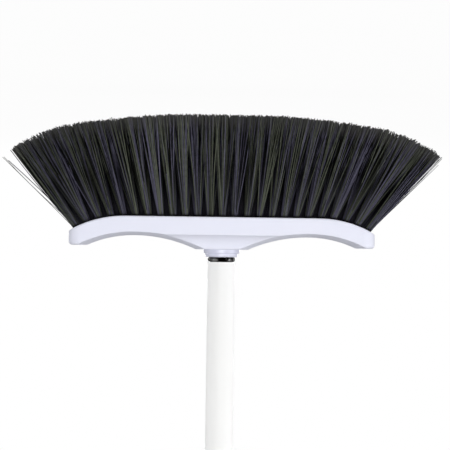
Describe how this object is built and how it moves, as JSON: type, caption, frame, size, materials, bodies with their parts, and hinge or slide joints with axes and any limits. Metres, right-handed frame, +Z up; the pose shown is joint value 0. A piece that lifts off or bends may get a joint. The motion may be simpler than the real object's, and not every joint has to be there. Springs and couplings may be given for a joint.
{
  "type": "angle broom",
  "caption": "Push-and-pull broom with a fan of dark bristles on a pale arched plastic block, screwed to a long white tubular handle with a hang-up cap",
  "frame": {"origin": "on the floor under the middle of the block, where the longest bristles touch", "axes": "+Z up along the handle, +X along the block, -Y out of the block's front face"},
  "size_m": [0.3336, 0.0578, 1.3346],
  "materials": {
    "block_plastic": "satin moulded polypropylene, cool white",
    "bush_plastic": "satin moulded polypropylene, cool white",
    "bristle_fibre": "drawn polyester filament, charcoal, flagged ends",
    "staple_wire": "drawn flat wire",
    "washer_rubber": "smooth black rubber",
    "tip_plastic": "glossy black moulding",
    "tube_steel": "welded thin wall tube",
    "sleeve_vinyl": "smooth white vinyl coat",
    "cap_plastic": "black moulding"
  },
  "bodies": {
    "handle": {"handle_tube": "tube_steel", "handle_sleeve": "sleeve_vinyl", "hang_cap": "cap_plastic", "threaded_tip": "tip_plastic"},
    "washer": {"lock_washer": "washer_rubber"},
    "head": {"block": "block_plastic", "socket_bush": "bush_plastic", "bristles_front": "bristle_fibre", "bristles_inner_front": "bristle_fibre", "bristles_inner_back": "bristle_fibre", "bristles_back": "bristle_fibre", "staples_front": "staple_wire", "staples_inner_front": "staple_wire", "staples_inner_back": "staple_wire", "staples_back": "staple_wire"}
  },
  "joints": [
    {"name": "head_unscrew", "type": "hinge", "parent": "handle", "child": "washer", "pos_m": [0, 0, 0.1119], "axis": [0, 0, -1], "range_deg": [0, 1440]},
    {"name": "head_travel", "type": "slide", "parent": "washer", "child": "head", "axis": [0, 0, -1], "range_m": [0, 0.02033]}
  ],
  "couplings": [
    {"joint": "head_travel", "follows": "head_unscrew", "m_per_rad": 0.00080851}
  ]
}
